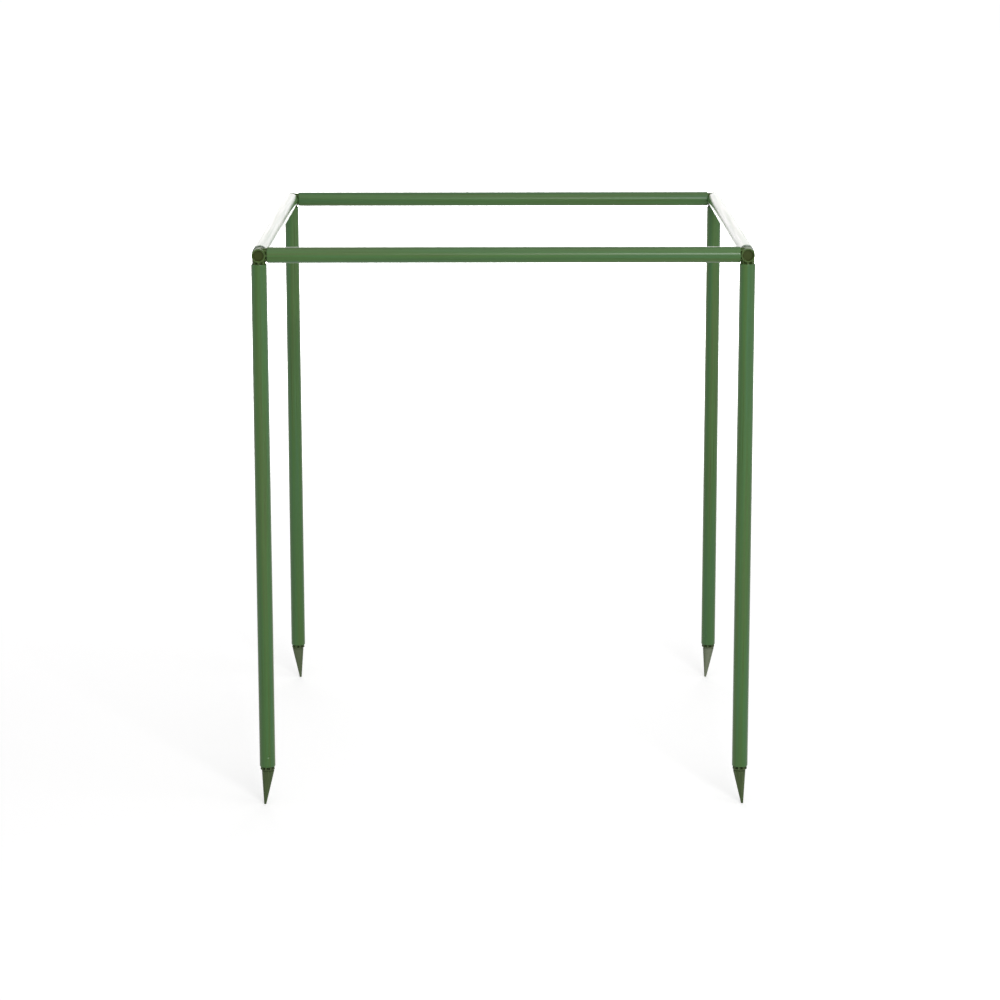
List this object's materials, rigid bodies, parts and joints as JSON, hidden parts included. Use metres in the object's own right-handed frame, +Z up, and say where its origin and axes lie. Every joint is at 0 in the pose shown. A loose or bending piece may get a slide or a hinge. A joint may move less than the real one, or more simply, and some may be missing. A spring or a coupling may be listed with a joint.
{
  "type": "shrub support",
  "caption": "Square ring of plastic-coated steel tube on legs with ground points, joined by moulded three-way corner connectors; it stands round a shrub and holds its shoots up.",
  "frame": {"origin": "on the ground in the middle of the four legs, at the level of the points' tips", "axes": "+Z up along the legs, -Y towards the front, +X to the right"},
  "size_m": [0.5006, 0.5092, 0.5757],
  "materials": {
    "tube_coat": "leaf-green polyethylene coat, extruded, semi-gloss",
    "tube_core": "thin-walled welded steel tube, bare at the cut ends",
    "connector_plastic": "dark olive moulded polypropylene, satin",
    "point_plastic": "dark olive-grey moulded polypropylene, satin"
  },
  "bodies": {
    "left_frame": {"left_rail_coat": "tube_coat", "left_rail_core": "tube_core", "front_rail_coat": "tube_coat", "front_rail_core": "tube_core", "back_rail_coat": "tube_coat", "back_rail_core": "tube_core", "front_left_connector": "connector_plastic", "back_left_connector": "connector_plastic"},
    "right_frame": {"right_rail_coat": "tube_coat", "right_rail_core": "tube_core", "front_right_connector": "connector_plastic", "back_right_connector": "connector_plastic"},
    "front_left_leg": {"front_left_leg_coat": "tube_coat", "front_left_leg_core": "tube_core", "front_left_point": "point_plastic"},
    "back_left_leg": {"back_left_leg_coat": "tube_coat", "back_left_leg_core": "tube_core", "back_left_point": "point_plastic"},
    "front_right_leg": {"front_right_leg_coat": "tube_coat", "front_right_leg_core": "tube_core", "front_right_point": "point_plastic"},
    "back_right_leg": {"back_right_leg_coat": "tube_coat", "back_right_leg_core": "tube_core", "back_right_point": "point_plastic"}
  },
  "joints": [
    {"name": "right_frame_pull", "type": "slide", "parent": "left_frame", "child": "right_frame", "axis": [1, 0, 0], "range_m": [0, 0.03]},
    {"name": "front_left_leg_pull", "type": "slide", "parent": "left_frame", "child": "front_left_leg", "axis": [0, 0, -1], "range_m": [0, 0.03]},
    {"name": "back_left_leg_pull", "type": "slide", "parent": "left_frame", "child": "back_left_leg", "axis": [0, 0, -1], "range_m": [0, 0.03]},
    {"name": "front_right_leg_pull", "type": "slide", "parent": "right_frame", "child": "front_right_leg", "axis": [0, 0, -1], "range_m": [0, 0.03]},
    {"name": "back_right_leg_pull", "type": "slide", "parent": "right_frame", "child": "back_right_leg", "axis": [0, 0, -1], "range_m": [0, 0.03]}
  ]
}
